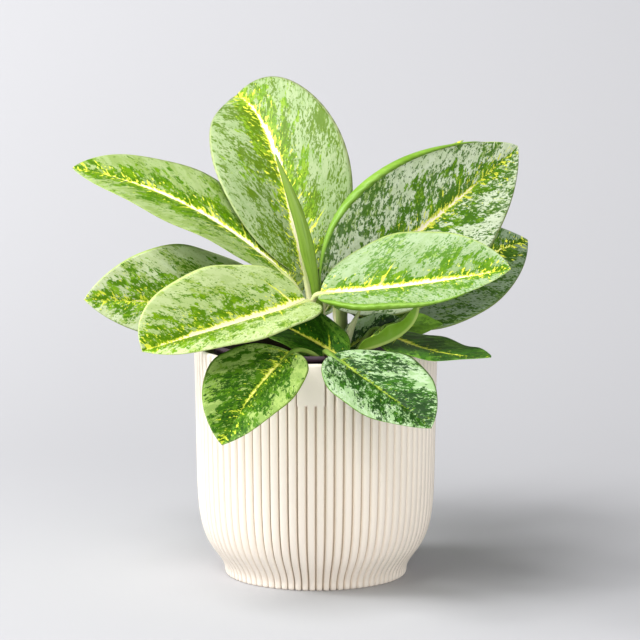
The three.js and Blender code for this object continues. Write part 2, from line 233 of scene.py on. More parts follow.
# %% Objects and pieces
def add_object(bm, name, materials):
    """Turns a bmesh into an object in the scene."""
    mesh = bpy.data.meshes.new(name)
    bm.to_mesh(mesh)
    bm.free()
    for material in materials:
        mesh.materials.append(material)
    made = bpy.data.objects.new(name, mesh)
    bpy.context.scene.collection.objects.link(made)
    return made


def finished_piece(bm, name, materials, nodes):
    """Turns a closed bmesh into a piece of the object."""
    bmesh.ops.recalc_face_normals(bm, faces=bm.faces[:])
    piece = add_object(bm, name, materials)
    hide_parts(*nodes)
    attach(piece, "root")
    return piece


# %% [markdown]
# A smooth line through a few points is worked out in pieces. Between two points, the handles of a Bezier
# curve follow the direction from the point before to the point after, which is the Catmull-Rom rule, and
# `interpolate_bezier` gives the points between.

# %% Smooth line through points
from mathutils.geometry import interpolate_bezier


def smooth_line(points, steps):
    """A dense smooth line through the points, with this many steps between neighbours."""
    points = [Vector(p).to_3d() for p in points]
    padded = [points[0] * 2 - points[1], *points, points[-1] * 2 - points[-2]]
    line = [points[0]]
    for before, start, end, after in zip(padded, padded[1:], padded[2:], padded[3:]):
        handles = start + (end - before) / 6, end - (after - start) / 6
        line += interpolate_bezier(start, *handles, end, steps + 1)[1:]
    return line


def mix(start, end, share):
    return start + (end - start) * share


JUST_UNDER_ONE = 0.99999


def step_at(values, share):
    """Which step of a list a share of the way along it falls in, and how far into that step."""
    place = min(max(share, 0), JUST_UNDER_ONE) * (len(values) - 1)
    return int(place), place - int(place)


def along_list(values, share):
    """The value at a share of the way along a list; works for numbers and points."""
    index, part = step_at(values, share)
    return mix(values[index], values[index + 1], part)


def heading_at(path, share, reach=0.02):
    """The direction of a path, measured over a short reach to both sides."""
    return (along_list(path, min(1, share + reach)) - along_list(path, max(0, share - reach))).normalized()


print("helpers ready")

# %% [markdown]
# ## Planter finish
#
# The planter is injection-moulded polypropylene in a warm cream. Moulded plastic has a dense, even colour
# and a dull sheen from the fine grain of the mould, so its roughness is middling and a very small noise
# bump breaks up the highlight. A slow, faint change of colour keeps the big smooth wall from looking flat.
# The floors of the grooves get a darker cream, a painted shade for the shade that falls into them.

# %% Moulded cream plastic
PATCH_SIZE, MOULD_GRAIN, GRAIN_HEIGHT = 60, 1.2, 0.12


def moulded_plastic(name, pale, deep, roughness):
    material, tree = new_material(name)
    colour = blend(grains(tree, PATCH_SIZE, 2), pale, deep)
    surface(tree, colour, roughness, (grains(tree, MOULD_GRAIN, 3), 0.35, GRAIN_HEIGHT), IOR=1.49)
    return material


cream_plastic = moulded_plastic("moulded_cream_polypropylene", "#FAF0E3", "#F5EADB", 0.5)
# painted shade: a darker cream for the floors of the grooves
groove_shade_plastic = moulded_plastic("moulded_cream_painted_groove_shade", "#CABBA8", "#C2B3A0", 0.6)
pot_plastic = moulded_plastic("moulded_dark_polypropylene", "#4A3342", "#3C2835", 0.42)

# %% [markdown]
# ## Fluted planter
#
# The real planter is one thin shell with eighty soft ribs: round crowns that meet in narrow grooves. A wall
# profile is spun about Z with twelve steps for each rib, and then every outer vertex is drawn in by its place
# between two grooves. That follows the belly and the foot by itself, which stacking eighty separate ribs
# wouldn't. The plain plaque at the front is a patch where nothing is drawn in.

# %% Planter profile
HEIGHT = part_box("planter")[1].z / MM
RIM = 70
RIBS, STEPS_PER_RIB = 80, 12
ROUNDING = 0.8  # how far the shoulders of a rib are drawn in
GROOVE = 2.3  # depth of the groove itself
GROOVE_FROM = 0.78  # where it starts, from 0 on a crown to 1 in mid groove
GROOVE_SIDE = 0.08  # how wide its side is
GROOVE_FLOOR = 5 / 6  # from here a face lies on its floor
RIM_ROUNDING, RIM_FADE = 0.8, 2  # the ribs fade out into the rim
PLAQUE_RIBS = (-2, 1)  # the ribs that the plaque takes up, counted from the front
PLAQUE_HEIGHT, PLAQUE_EDGE, PLAQUE_FADE = 23, 0.08, 1.6
FRONT = -pi / 2

OUTSIDE = [
    (51.6, 0), (52.3, 0.5), (52.6, 1.4), (52.7, 2.6), (52.9, 4.2), (53.6, 6.2), (54.7, 8.3), (56.1, 10.5),
    (58.3, 13.5), (61, 17.3), (63.5, 22), (65.7, 28.3), (67.2, 36), (68.2, 47), (68.7, 62), (69, 79),
    (69.3, 98)]
OUTSIDE += [(mix(69.3, RIM, share), mix(98, HEIGHT - 1.8, share))
            for share in (0.1, 0.2, 0.26, 0.3, 0.32, 0.34, 0.36, 0.38, 0.42, 0.5, 0.75, 1)]
RIM_EDGE = [(RIM, HEIGHT - 1.2), (69.8, HEIGHT - 0.6), (69.4, HEIGHT - 0.15), (68.8, HEIGHT)]
INSIDE = [
    (67.4, HEIGHT), (66.7, HEIGHT - 0.5), (66.5, HEIGHT - 1.6), (64.8, 48), (63, 33), (58.2, 22), (51.6, 14),
    (48, 4), (0, 4)]


def rib_place(point):
    """(ribs from the front, share of the way from a crown to a groove) of a point on the wall."""
    turn = (atan2(point.y, point.x) - FRONT) / tau * RIBS
    turn = (turn + RIBS / 2) % RIBS - RIBS / 2
    return turn, abs(turn - floor(turn) - 0.5) * 2


def groove_amount(point):
    """How far the wall is drawn in at a point, in millimetres: 0 on a crown, most in a groove."""
    turn, from_crown = rib_place(point)
    slot = min(1, max(0, (from_crown - GROOVE_FROM) / GROOVE_SIDE))
    amount = ROUNDING * from_crown ** 2.2 + GROOVE * slot
    height = point.z / MM
    fade = min(1, (HEIGHT + RIM_ROUNDING - height) / RIM_FADE)
    if PLAQUE_RIBS[0] + PLAQUE_EDGE < turn < PLAQUE_RIBS[1] - PLAQUE_EDGE:
        fade = min(1, max(0, (HEIGHT - PLAQUE_HEIGHT - height) / PLAQUE_FADE))
    return amount * fade


# %% Planter mesh
def spin_profile(bm, corners, steps):
    """Joins the corners of a profile in a row and spins them about Z."""
    for first, second in zip(corners, corners[1:]):
        bm.edges.new((first, second))
    bmesh.ops.spin(bm, geom=bm.verts[:] + bm.edges[:], cent=(0, 0, 0), axis=(0, 0, 1),
                   angle=tau, steps=steps, use_merge=True)
    bmesh.ops.remove_doubles(bm, verts=bm.verts, dist=SPIN_WELD)
    for face in bm.faces:
        face.smooth = True


def planter_shell():
    bm = bmesh.new()
    fluted = bm.verts.layers.float.new("fluted")
    wall = smooth_line([(r, 0, z) for r, z in OUTSIDE], 3)
    corners = [bm.verts.new((0, 0, 0))]
    for point in [*wall, *(Vector((r, 0, z)) for r, z in RIM_EDGE)]:
        corners.append(bm.verts.new(point * MM))
        corners[-1][fluted] = 1
    corners += [bm.verts.new(Vector((r, 0, z)) * MM) for r, z in INSIDE]
    bmesh.ops.rotate(bm, cent=(0, 0, 0), matrix=Matrix.Rotation(FRONT, 3, "Z"), verts=bm.verts)
    spin_profile(bm, corners, RIBS * STEPS_PER_RIB)
    for v in bm.verts:
        if v[fluted] > 0.5:
            v.co -= Vector((v.co.x, v.co.y, 0)).normalized() * groove_amount(v.co) * MM
    # the faces on the floor of a groove get the darker cream, a painted shade
    for face in bm.faces:
        centre = face.calc_center_median()
        grooved = all(v[fluted] > 0.5 for v in face.verts) and groove_amount(centre) > GROOVE
        face.material_index = 1 if grooved and rib_place(centre)[1] > GROOVE_FLOOR else 0
    return finished_piece(bm, "fluted_planter", [cream_plastic, groove_shade_plastic], ["planter"])


planter = planter_shell()
print("planter", len(planter.data.polygons), "faces")

# %% [markdown]
# ## Grow pot
#
# Inside the planter stands the thin dark pot that the plant was raised in. Only its rolled lip shows. It is
# vacuum-formed from thin sheet, so it is a turned profile with a wall of about a millimetre; the lip's
# outer edge is rounded by a few extra points rather than a bevel, because it is so small.

# %% Grow pot
POT_STEPS = 160


def grow_pot():
    bm = bmesh.new()
    low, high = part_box("nursery_pot")
    foot, top, lip = low.z / MM, high.z / MM, high.x / MM
    outline = [
        (0, foot), (45, foot), (46, foot + 1), (58.6, top - 3.4), (61, top - 3.3), (lip, top - 2.8),
        (lip, top - 0.6), (lip - 0.4, top - 0.1), (lip - 0.9, top), (lip - 1.2, top - 0.4), (57.5, top - 5.6),
        (45, foot + 1.4), (0, foot + 1.4)]
    spin_profile(bm, [bm.verts.new(Vector((r, 0, z)) * MM) for r, z in outline], POT_STEPS)
    finished_piece(bm, "grow_pot", [pot_plastic], ["nursery_pot"])
    return top


print("grow pot lip at", round(grow_pot(), 1), "mm")

# %% [markdown]
# ## Potting mix
#
# Potting mix is damp peat with bits of bark and white grains of perlite. Its surface is a rolled sheet that
# runs up along the pot's wall and in to the middle, raised by two sizes of noise. A few hundred low crumbs,
# each an ico sphere of twenty faces pushed out of round, lie on it, and one in twelve is pale perlite.

# %% Potting mix finish
def crumbly(name, dark, pale, grain):
    """A rough damp ground of crumbs; grain is the crumb size in millimetres."""
    material, tree = new_material(name)
    crumbs = grains(tree, grain, 6)
    colour = blend(threshold(crumbs, 0.35, 0.7), dark, pale)
    surface(tree, colour, 0.92, (crumbs, 0.9, 1.2))
    return material


peat = crumbly("damp_peat", "#1E1510", "#4A3626", 3)
perlite = crumbly("perlite_grains", "#B9B2A4", "#E2DCCF", 2)

# %% Potting mix
SOIL_LEVEL, SOIL_RADIUS, SOIL_FOOT_RADIUS = 117, 55.5, 44
FOOT_SHARE = 0.02  # the part of the sheet that is left for the soil's foot
MIDDLE_RADIUS = 0.2  # the small ring in the middle that the sheet ends on
CRUMBS, CRUMB_REACH, CRUMB_SIZES, PERLITE_EVERY = 420, 0.97, (0.7, 2.3), 12


def soil_height(x, y):
    """Height of the potting mix, with broad humps and fine crumbs."""
    here = Vector((x, y, 0))
    return SOIL_LEVEL + 1.6 * noise.noise(here / 17) + 1.1 * noise.noise(here / 4.5)


def potting_mix():
    bm = bmesh.new()
    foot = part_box("soil")[0].z / MM

    def ground(turn, share):
        angle = tau * turn
        if share < FOOT_SHARE:
            return Vector((SOIL_FOOT_RADIUS * cos(angle), SOIL_FOOT_RADIUS * sin(angle), foot))
        radius = SOIL_RADIUS * (1 - (share - FOOT_SHARE) / (1 - FOOT_SHARE)) + MIDDLE_RADIUS
        x, y = radius * cos(angle), radius * sin(angle)
        return Vector((x, y, soil_height(x, y)))

    rolled_sheet(bm, around=96, along=50, place=ground)
    draw = random.Random(7)
    for crumb in range(CRUMBS):
        angle, radius = draw.uniform(0, tau), SOIL_RADIUS * sqrt(draw.random()) * CRUMB_REACH
        x, y = radius * cos(angle), radius * sin(angle)
        size = draw.uniform(*CRUMB_SIZES)
        made = bmesh.ops.create_icosphere(bm, subdivisions=1, radius=size * MM)["verts"]
        for v in made:
            v.co *= draw.uniform(0.65, 1.15)
        squash = Matrix.Diagonal((draw.uniform(0.7, 1.5), 1, draw.uniform(0.5, 0.9)))
        bmesh.ops.transform(bm, verts=made, matrix=Matrix.Rotation(angle * 5, 4, "Z") @ squash.to_4x4())
        bmesh.ops.translate(bm, verts=made, vec=Vector((x, y, soil_height(x, y) + size * 0.3)) * MM)
        if crumb % PERLITE_EVERY == 0:
            for face in {f for v in made for f in v.link_faces}:
                face.material_index = 1
    return finished_piece(bm, "potting_mix", [peat, perlite], ["soil"])


print("potting mix", len(potting_mix().data.polygons), "faces")

# %% [markdown]
# ## Plant tissue
#
# A stalk is living tissue with a waxy skin, so it has a soft, wet-looking gloss and lets a little light in.
# Its colour runs from nearly white at the foot to green near the blade. Thin lengthwise stripes show the
# strands in it. The rolled young leaves share the finish in a yellower green.

# %% Stalk and young leaf finish
STRANDS = 16.0


def waxy_stem(name, low_colour, high_colour, stripe_colour, roughness):
    """Waxy plant stem; its UV runs round in x and along in y, both from 0 to 1."""
    material, tree = new_material(name)
    turn, share = uv_parts(tree, "round_along")
    colour = blend(threshold(share, 0.1, 0.9), low_colour, high_colour)
    strands = noise_at(vector_of(times(turn, STRANDS), times(share, 3.0)), 1.3, 3)
    stripes = threshold(strands, 0.48, 0.72)
    colour = blend(times(stripes, 0.6), colour, stripe_colour)
    surface(tree, colour, roughness, (strands, 0.3, 0.3), **{
        "IOR": 1.42, "Subsurface Weight": 0.15, "Subsurface Radius": (0.002, 0.003, 0.001),
        "Subsurface Scale": 0.5})
    return material


pale_stalk = waxy_stem("leaf_stalk_waxy_pale", "#F6EEC4", "#A9C060", "#C2C67E", 0.45)
# painted shade: the darker green stalk of the leaves that stand in shade
green_stalk = waxy_stem("leaf_stalk_waxy_green", "#8FA650", "#5F8A20", "#4B7414", 0.45)
green_cane = waxy_stem("cane_waxy_green", "#9FB070", "#A9BC72", "#6F8A45", 0.38)
young_leaf = waxy_stem("young_leaf_yellow_green", "#6C8E24", "#809E3A", "#56781A", 0.42)
bud_sheath = waxy_stem("bud_sheath_pale_green", "#F0F0CC", "#D6E0A4", "#B9C87E", 0.4)

# %% [markdown]
# ## Leaf finish
#
# The leaf of this plant has no two patches alike, yet the pattern has a plan. Side veins leave the midrib at
# a slant and bend towards the tip, and every fleck is drawn out a little along them. So the finish first
# turns the blade's UV map into two new numbers: how far from the midrib, and which side vein a point lies on.
# Noise on those two gives torn flecks in each layer: a mint ground, half-clear green patches, a green zone
# round the midrib with islands in it, dark specks, and a cream midrib with lit side veins. The two halves
# of the blade read different noise.

# %% Leaf finish: vein coordinates and flecks
VEIN_SLANT, VEIN_BEND = 0.75, 0.009
SLANT_SHARE = 0.7  # the veins slant by about 45 degrees: 1 mm along one is 0.7 mm away from the midrib
HALF_APART, LAYER_APART = 17.3, 5.7  # how far apart in the noise the blade's halves and the layers lie
# Width and length in millimetres, levels of detail, layer, raggedness.
FLECKS = {
    "drift": (15, 19, 1, 1, 0.6), "tones": (7, 10, 4, 2, 0.65), "veil": (3.2, 4.8, 6, 3, 0.7),
    "wander": (8, 12, 2, 4, 0.6), "islands": (2.6, 4.2, 5, 12, 0.7), "tissue": (5, 8, 3, 5, 0.6),
    "feather": (1.8, 2.8, 5, 6, 0.7), "small_specks": (1.2, 1.8, 3, 7, 0.6), "specks": (2, 3, 3, 8, 0.6),
    "large_specks": (3.4, 5, 3, 13, 0.6), "yellow": (1.6, 4.2, 3, 9, 0.6), "frayed": (1.5, 4, 4, 10, 0.7),
    "swelling": (14, 60, 1, 11, 0.6), "pores": (0.8, 1.2, 2, 14, 0.6), "underside": (9, 25, 2, 1, 0.6),
}


def vein_coordinates(tree):
    """Off the midrib in mm, the side vein's place along it in mm, side, share across, share along."""
    (out, length), (share_across, share_along) = uv_parts(tree, "blade_mm"), uv_parts(tree, "blade_share")
    off = reckon("ABSOLUTE", out)
    bend = times(times(off, off), VEIN_BEND)
    vein = minus(length, plus(times(off, VEIN_SLANT), bend))
    across = times(reckon("ABSOLUTE", minus(share_across, 0.5)), 2.0)
    return off, vein, reckon("SIGN", out), across, share_along


def flecks(coordinates, kind):
    """Noise in flecks of this kind, drawn out along the side veins."""
    off, vein, side = coordinates[:3]
    width, length, detail, layer, ragged = FLECKS[kind]
    away = reckon("DIVIDE", off, length * SLANT_SHARE)
    along = reckon("DIVIDE", vein, width / SLANT_SHARE)
    stretched = vector_of(away, along, plus(times(side, HALF_APART), layer * LAYER_APART))
    return noise_at(stretched, 1.0, detail, ragged)


def spread(value, around, amount):
    """A noise value turned into a shift about zero, for moving another layer's threshold."""
    return times(minus(value, around), amount)


# %% [markdown]
# A few side veins are lit up in yellow near the midrib, which gives it its herringbone look. The vein number
# is cut into steps, and white noise gives each step its own strength, so each side vein is lit or not.

# %% Leaf finish: lit veins
VEIN_SPACING = 7.5


def side_veins(coordinates, wobble):
    """Distance in mm from the nearest lit side vein; it grows away from the midrib, so each vein tapers."""
    off, vein, side = coordinates[:3]
    phase = reckon("DIVIDE", plus(vein, wobble), VEIN_SPACING)
    number = reckon("FLOOR", phase)
    inside = minus(minus(phase, number), 0.5)
    distance = times(reckon("ABSOLUTE", inside), VEIN_SPACING)
    strength = add_node(off.id_data, "TexWhiteNoise", {"Vector": vector_of(number, side)}).outputs["Value"]
    faint = times(minus(1.0, strength), 2.4)
    return plus(plus(distance, faint), times(off, 0.075))


# %% Leaf finish: the layers
def variegated_leaf(name, looks):
    """Upper side of a leaf; looks holds the colours and how far each layer reaches."""
    material, tree = new_material(name)
    spots = vein_coordinates(tree)
    off, vein, _, across, along = spots

    def over(value, key, softness=0.02, more=0.0):
        """Where a value rises over a number of this look."""
        return threshold(value, looks[key] + more, looks[key] + more + softness)

    drift = spread(flecks(spots, "drift"), 0.5, 1.0)

    # Mint ground in two tones.
    tones = threshold(flecks(spots, "tones"), 0.44, 0.56)
    colour = blend(tones, looks["mint"], looks["mint_shade"])

    # Half-clear green patches with torn edges.
    torn = plus(flecks(spots, "veil"), times(drift, 0.6))
    colour = blend(times(over(torn, "veil_from"), 0.8), colour, looks["veil"])

    # The green zone round the midrib, wider towards the tip: one noise makes its edge wander, a finer
    # one tears it into islands.
    wander = spread(flecks(spots, "wander"), 0.5, -2.4)
    islands = spread(flecks(spots, "islands"), 0.5, -2.0)
    reach = minus(plus(plus(across, wander), islands), times(along, 0.3))
    zone = threshold(reach, looks["zone"] + 0.05, looks["zone"] - 0.05)
    tissue = blend(threshold(flecks(spots, "tissue"), 0.46, 0.54), looks["green"], looks["green_deep"])
    colour = blend(zone, colour, tissue)

    # Mint shows through the green in small torn flecks.
    feather = over(flecks(spots, "feather"), "feather", 0.03)
    colour = blend(feather, colour, looks["mint_shade"])

    # Dark specks in three sizes; they come in drifts and thin out to the margin.
    crowd = minus(times(across, looks["thin_out"]), times(drift, 0.4))
    for kind, more in (("small_specks", 0.0), ("specks", 0.01), ("large_specks", 0.05)):
        grain = minus(flecks(spots, kind), crowd)
        colour = blend(times(over(grain, "dark_from", more=more), 0.9), colour, looks["fleck"])

    # Yellow flecks near the midrib.
    yellow = minus(flecks(spots, "yellow"), times(off, 0.011))
    colour = blend(over(yellow, "yellow_from"), colour, looks["yellow"])

    # The midrib and its lit side veins: yellow edges round a cream core, both fading before the tip.
    frayed = spread(flecks(spots, "frayed"), 0.5, 6.0)
    swelling = spread(flecks(spots, "swelling"), 0.5, 3.0)
    fading = times(reckon("POWER", along, 3.0), 3.2)
    rib = plus(plus(off, frayed), plus(swelling, fading))
    core = looks["rib"]
    twigs = plus(plus(side_veins(spots, times(frayed, 0.8)), fading), core * 0.5 + 0.1)
    lit = reckon("MINIMUM", rib, twigs)
    colour = blend(threshold(lit, core + 0.9, core + 0.3), colour, looks["yellow"])
    colour = blend(threshold(lit, core + 0.1, core - 0.4), colour, looks["cream"])

    # A thin plain margin, and then the relief: quilting between the side veins, and pores.
    colour = blend(threshold(across, 0.96, 0.985), colour, looks["margin"])
    quilt = reckon("COSINE", times(vein, tau / VEIN_SPACING))
    height = plus(times(quilt, 0.3), times(flecks(spots, "pores"), 0.3))
    surface(tree, colour, 0.46, (height, 0.4, 0.35), **{"IOR": 1.43, "Specular IOR Level": 0.2})
    return material


# %% [markdown]
# The looks are partly each leaf's own pattern and partly painted light: the palest colours go to the upper
# leaves, which stand in full light, and deep greens with a yellow midrib, a painted shade, go to the low
# leaves in shade. So each leaf names one of a few looks, which share the same layers.

# %% Leaf finish: the looks
LEAF_COLOURS = ("mint", "mint_shade", "veil", "green", "green_deep", "fleck")
REST_OF_LOOK = dict(veil_from=0.57, zone=0.2, feather=0.58, thin_out=0.05, dark_from=0.585, yellow_from=0.55,
    yellow="#E2E84A", rib=1.7, cream="#FFF6D8", margin="#B4CB72")


def look(colours, **changes):
    """The six leaf colours in one string, and what else sets this look apart from the mint one."""
    return {**REST_OF_LOOK, **dict(zip(LEAF_COLOURS, colours.split())), **changes}


LOOKS = dict(
    mint=look("#9DB174 #8CA35A #7A9C28 #658F04 #4B7900 #466C08"),
    lime=look("#9BAC7E #8FA470 #869E3E #7DA01E #628C10 #54720E", veil_from=0.625, zone=0.17, thin_out=0.0,
        dark_from=0.555, yellow_from=0.525, rib=2.2, margin="#B9C889"),
    spring=look("#BECE92 #AEC27E #93AE42 #76A00C #588408 #56800C", yellow_from=0.535, rib=2.5,
        margin="#BFD080"),
    silver=look("#DCE8C8 #CDDCB4 #9CBA58 #72A01C #4E800E #487418", veil_from=0.58, zone=0.05, thin_out=0.0,
        dark_from=0.565, rib=1.35),
    bright=look("#99AD84 #8CA370 #8AAA46 #648E18 #4C7A0E #4E7A1C", veil_from=0.58, zone=0.12, thin_out=0.0,
        dark_from=0.57, rib=1.75, cream="#F6EACC"),
    mixed=look("#D0DBB2 #C2CF9C #98B448 #80AC24 #568410 #52800C", zone=0.28, feather=0.56, rib=1.3),
    shade=look("#97B05E #7F9B4C #688C24 #4A760E #2F5A08 #1F4306", zone=0.5, feather=0.57, yellow="#B9C83A",
        rib=0.7, cream="#E9E584", margin="#7FA03A"),
    # painted shade: darker greens with grey-mint flecks for leaves that lie in the shade of others
    mottled_shade=look("#A4BA94 #8CAA76 #45701C #2F5E0A #1A4204 #123403", zone=0.42, feather=0.54, dark_from=0.55,
        yellow_from=0.6, yellow="#7C9424", rib=0.4, cream="#A8B850", margin="#6E9440"),
    # painted shade: the silver look made darker for a leaf that stands in shade
    silver_in_shade=look("#84977A #788E68 #6A8A3C #4C7216 #3A600E #34580F", zone=0.12, thin_out=0.0, dark_from=0.565,
        margin="#8AA35C"),
    # painted shade: a plain deep green for a small leaf in the shadow of the leaf above it
    plain=look("#5E8424 #55791F #4F7420 #4A6E18 #3E6010 #38580E", yellow_from=0.8, yellow="#8A9A2A", rib=0.3,
        cream="#9AA83A", margin="#6E9030"),
    # painted shade: deep greens for the low leaves that stand in shade
    dark=look("#5A8426 #48721C #3A6A12 #2F5F0C #1E4708 #163A05", zone=0.7, feather=0.6, dark_from=0.56,
        yellow_from=0.6, yellow="#B4C22E", rib=0.9, cream="#DEDA62", margin="#5F8A2A"),
)
leaf_finishes = {name: variegated_leaf("variegated_leaf_" + name, layers) for name, layers in LOOKS.items()}


def plain_underside():
    """Underside of a leaf: plain bright green with faint side veins."""
    material, tree = new_material("leaf_underside_plain_green")
    spots = vein_coordinates(tree)
    colour = blend(threshold(flecks(spots, "underside"), 0.35, 0.7), "#6F9A24", "#7FA838")
    colour = blend(threshold(spots[0], 2.2, 0.8), colour, "#A9C063")
    quilt = reckon("SINE", times(spots[1], tau / 6.5))
    surface(tree, colour, 0.45, (quilt, 0.35, 0.3), IOR=1.43)
    return material


underside = plain_underside()
print(len(leaf_finishes), "leaf looks")

# %% [markdown]
# ## Canes
#
# Each crown of leaves grows from a short upright cane, ringed by the scars of leaves that have dropped. The
# rings are what makes it read as a cane and not as a rod, so the radius swells at each scar. The canes are
# rolled sheets too: the share along the sheet is the height, and both ends close by themselves. A cane's
# row holds its x, y and radius, which the stalks need later.

# %% Canes
CANES = {1: (1.5, 2, 4.2), 2: (15, 18, 3.8), 3: (6, -50, 3.2), 4: (-8, 32, 4), 5: (17, -14, 3.4)}
SCAR_SPACING = 7
NECK, SWELL, SWELL_STEEPNESS = 0.93, 0.07, 7  # shares of the radius, and how sharp a scar's ring is
ROUND_FROM, ROUND_SPAN, ROUND_LEAST = 0.97, 0.03, 0.04  # the rounded top of the cane


def cane(name):
    bm = bmesh.new()
    low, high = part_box(name)
    middle, radius = (low + high) / 2 / MM, (high.x - low.x) / 2 / MM
    foot, top = low.z / MM, high.z / MM

    def skin(turn, share):
        z = mix(foot, top, share)
        down = (top - z) / SCAR_SPACING
        swell = NECK + SWELL * max(0, 1 - abs((down % 1) - 0.5) * SWELL_STEEPNESS)
        rounded = sqrt(max(ROUND_LEAST, 1 - max(0, (share - ROUND_FROM) / ROUND_SPAN) ** 2))
        angle = tau * turn
        r = radius * swell * rounded
        return Vector((middle.x + r * cos(angle), middle.y + r * sin(angle), z))

    rolled_sheet(bm, around=20, along=60, place=skin, uv=ROUND_ALONG)
    finished_piece(bm, name + "_ringed", [green_cane], [name])


for number in CANES:
    cane("cane_%d" % number)
print(len(CANES), "canes")

# %% [markdown]
# ## Leaves: how each one stands
#
# A leaf is described as a botanist might: where the stalk leaves its cane, where the blade begins, which way
# the midrib points there, and how it bends, turns and rolls on its way to the tip. The rows repeat those of
# the CAD model, so that every fine blade lies in its solid. Two more words are for the eye: its look, and
# how wide a lip its left or right margin rolls up.

# %% Leaf rows
LEAF_DEFAULTS = dict(lean=27, bend=1, sweep=0, roll=0, twist=0, fold=14, stalk_end=0.62, tip_end=0.78,
    look="mint", lip_left=0, lip_right=0)
LEAVES = dict(
    leaf_top=dict(cane=1, root=143, base=(-5.8, 13.4, 171), heading=119, rise=66, length=143, width=81.5,
        droop=65.5, bend=2.2, sweep=-4.5, roll=9, twist=28.5, fold=19.5, stalk_end=0.64, tip_end=0.77,
        look="lime"),
    leaf_upper_left=dict(cane=1, root=139, base=(-16, 5.5, 171), heading=177, rise=45, length=141, width=60,
        droop=35.5, sweep=4, roll=21, twist=12, fold=9, stalk_end=0.65, tip_end=0.76),
    leaf_left_back=dict(cane=4, root=134, base=(-15.8, 37.2, 152.3), heading=217.6, rise=4.2, length=143,
        width=73, droop=-3, sweep=-1.5, roll=29.5, twist=35.5, fold=13.5, stalk_end=0.61, tip_end=0.8,
        look="mixed"),
    leaf_left_front=dict(cane=1, root=134, base=(-5.5, -7, 159), heading=232, rise=-4, length=136, width=70,
        droop=2, sweep=-6, roll=30, twist=4.5, fold=30, stalk_end=0.43, tip_end=0.43, look="spring"),
    leaf_low_left=dict(cane=3, root=127, lean=20, base=(-13.5, -67, 139.5), heading=239, rise=-16.5,
        length=89, width=57, droop=19, sweep=7, roll=14, fold=21, stalk_end=0.69, tip_end=0.76, look="shade"),
    leaf_low_right=dict(cane=3, root=130, lean=3, base=(8.8, -74.4, 139), heading=-48, rise=-18, length=91,
        width=54, droop=0, sweep=-8, roll=-14, twist=-11.5, fold=11.5, stalk_end=0.66, tip_end=0.79,
        look="mottled_shade"),
    leaf_low_centre=dict(cane=5, root=125, base=(15.8, -42.4, 130.6), heading=146, rise=29.5, length=71.5,
        width=43, droop=24.5, sweep=2.5, roll=19.5, twist=-8.5, fold=9, stalk_end=0.58, tip_end=0.81,
        look="dark"),
    leaf_right_low=dict(cane=5, root=126, lean=50, base=(36, -17, 144.8), heading=-52, rise=-13, length=95,
        width=40, droop=-21, sweep=3.5, roll=-4.5, twist=-2.5, fold=2.5, tip_end=0.79, look="dark"),
    leaf_right_front=dict(cane=1, root=134, base=(2.6, -8, 163.6), heading=-23, rise=7.5, length=124.5,
        width=61.5, droop=-6.5, sweep=-14.5, roll=-36.5, twist=-22, fold=27.5, stalk_end=0.52, tip_end=0.67,
        look="bright", lip_right=0.24),
    leaf_upper_right=dict(cane=1, root=140, lean=32, base=(5.7, 7.2, 157.3), heading=27, rise=30, length=158,
        width=79, droop=-2.5, sweep=10.5, roll=-64.5, twist=-20.5, fold=12, stalk_end=0.59, tip_end=0.8,
        look="silver", lip_left=0.46),
    leaf_upper_right_back=dict(cane=2, root=150, base=(7.6, 45, 162.7), heading=38, rise=46, length=130,
        width=63, droop=19, sweep=2, roll=4.5, twist=9, fold=9.5),
    leaf_right_back=dict(cane=2, root=141, base=(18, 25, 149.5), heading=26.5, rise=17, length=140.5,
        width=71, droop=9, sweep=20, roll=-50, twist=1, fold=5, stalk_end=0.64, tip_end=0.85, look="silver_in_shade"),
    leaf_small_right=dict(cane=3, root=126, lean=40, base=(24, -45, 136.4), heading=-13, rise=17.5, length=50,
        width=21, droop=-84, bend=2.5, sweep=2.5, roll=-3.5, fold=53),
    leaf_small_folded=dict(cane=5, root=120, base=(13, -7, 127.5), heading=12, rise=36, length=42, width=23,
        droop=12, roll=-38, twist=2, fold=34, look="mottled_shade"),
    leaf_right_under=dict(cane=2, root=134, base=(28, 5, 140), heading=8, rise=7, length=46, width=25,
        droop=6, roll=-28, fold=10, stalk_end=0.59, tip_end=0.8, look="plain"),
    leaf_back_high=dict(cane=4, root=137, base=(-12, 42, 156.4), heading=112, rise=37, length=120, width=55,
        droop=35),
    leaf_back_left=dict(cane=4, root=131, base=(-21, 34, 146), heading=146, rise=24, length=118, width=54,
        droop=38),
    leaf_back_right=dict(cane=2, root=134, base=(12, 34, 149), heading=80, rise=25, length=120, width=56,
        droop=40),
    leaf_back_low_right=dict(cane=4, root=130, base=(2, 44, 142), heading=65, rise=30, length=100, width=50,
        droop=62, look="silver"),
    leaf_back_low_left=dict(cane=4, root=127, base=(-18, 44, 142), heading=123, rise=7.5, length=96, width=48,
        droop=45, look="silver"),
)
print(len(LEAVES), "leaves")

# %% [markdown]
# ## Leaves: midrib and outline
#
# The midrib is walked in small steps. At each step the heading and rise give the direction, and the roll
# turns the blade about it, which gives three directions that everything else is measured from: along,
# across and up. The half width is a power curve: full near the stalk and drawn out to a point.

# %% Midrib and outline
MIDRIB_STEPS = 120
STALK_EDGE, TIP_EDGE = 1.3, 0.3  # the least half width at the two ends


